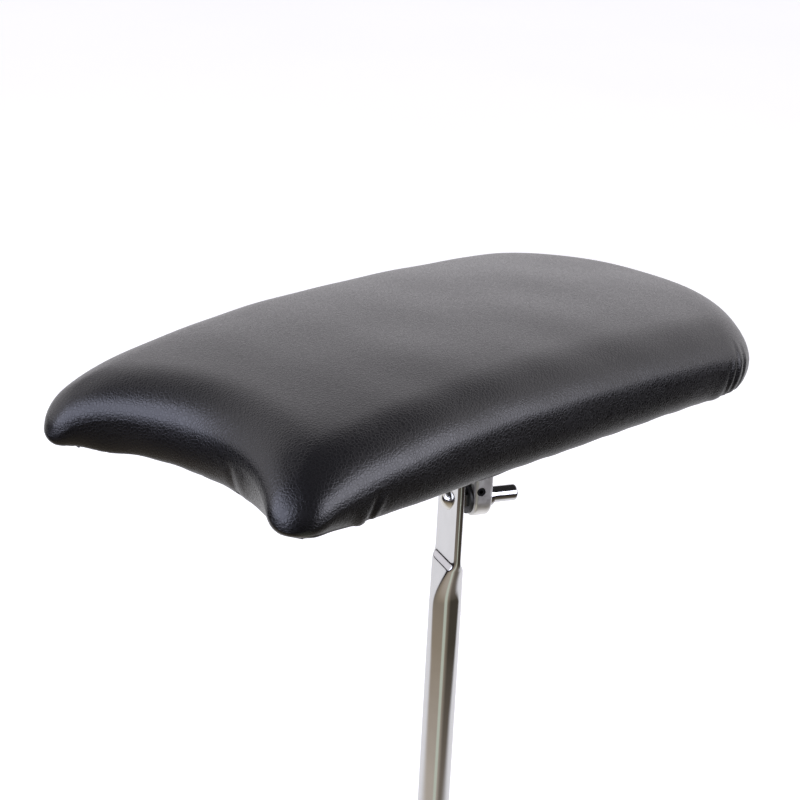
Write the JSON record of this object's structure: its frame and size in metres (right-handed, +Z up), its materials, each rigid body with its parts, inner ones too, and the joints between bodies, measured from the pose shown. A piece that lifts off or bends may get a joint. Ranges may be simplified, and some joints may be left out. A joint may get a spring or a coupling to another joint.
{
  "type": "padded armrest with post",
  "caption": "Black padded armrest, notched at one end and rounded at the other, on a chromed tube post with a clamped tilt pivot.",
  "frame": {"origin": "centre of the post's lower end, where it enters a socket", "axes": "+Z up along the post; +Y along the pad's long axis towards its rounded end; +X across the pad"},
  "size_m": [0.18, 0.345, 0.3172],
  "materials": {
    "cover": "black pebble-grained synthetic leather, semi-matt",
    "foam": "open-cell cushion foam",
    "board": "plain birch plywood",
    "dust_cloth": "black non-woven dust cloth",
    "staple": "galvanised wire",
    "zinc": "bright zinc plated",
    "bracket_steel": "black satin powder coat",
    "chrome": "polished chrome plate",
    "black_steel": "black oxide",
    "nylon": "natural nylon",
    "plug_plastic": "black polyethylene"
  },
  "bodies": {
    "post": {"post_tube": "chrome", "post_end_plug": "plug_plastic", "pivot_bolt": "chrome", "spacer_washer": "zinc", "jam_nut": "chrome"},
    "pad": {"pad_cover": "cover", "foam_core": "foam", "base_board": "board", "dust_cover": "dust_cloth", "hem_staples": "staple", "dust_cover_staples": "staple", "tee_nuts": "zinc", "bracket_screws": "zinc", "bracket_lock_washers": "zinc", "bracket_plate": "bracket_steel", "hinge_lug": "chrome", "lock_screw": "black_steel", "friction_washer": "nylon"},
    "clamp_washers": {"clamp_washer": "zinc", "spring_washer": "zinc"},
    "clamp_nut": {"barrel_nut": "chrome"}
  },
  "joints": [
    {"name": "pad_tilt", "type": "hinge", "parent": "post", "child": "pad", "pos_m": [0, 0, 0.215], "axis": [0.4415, 0.8973, 0], "range_deg": [-90, 90]},
    {"name": "clamp_travel", "type": "slide", "parent": "post", "child": "clamp_washers", "axis": [0.4415, 0.8973, 0], "range_m": [0, 0.002]},
    {"name": "clamp_turn", "type": "hinge", "parent": "clamp_washers", "child": "clamp_nut", "pos_m": [0, 0, 0.215], "axis": [0.4415, 0.8973, 0], "range_deg": [0, 720]}
  ],
  "couplings": [
    {"joint": "clamp_turn", "follows": "clamp_travel", "rad_per_m": 6283.2}
  ]
}
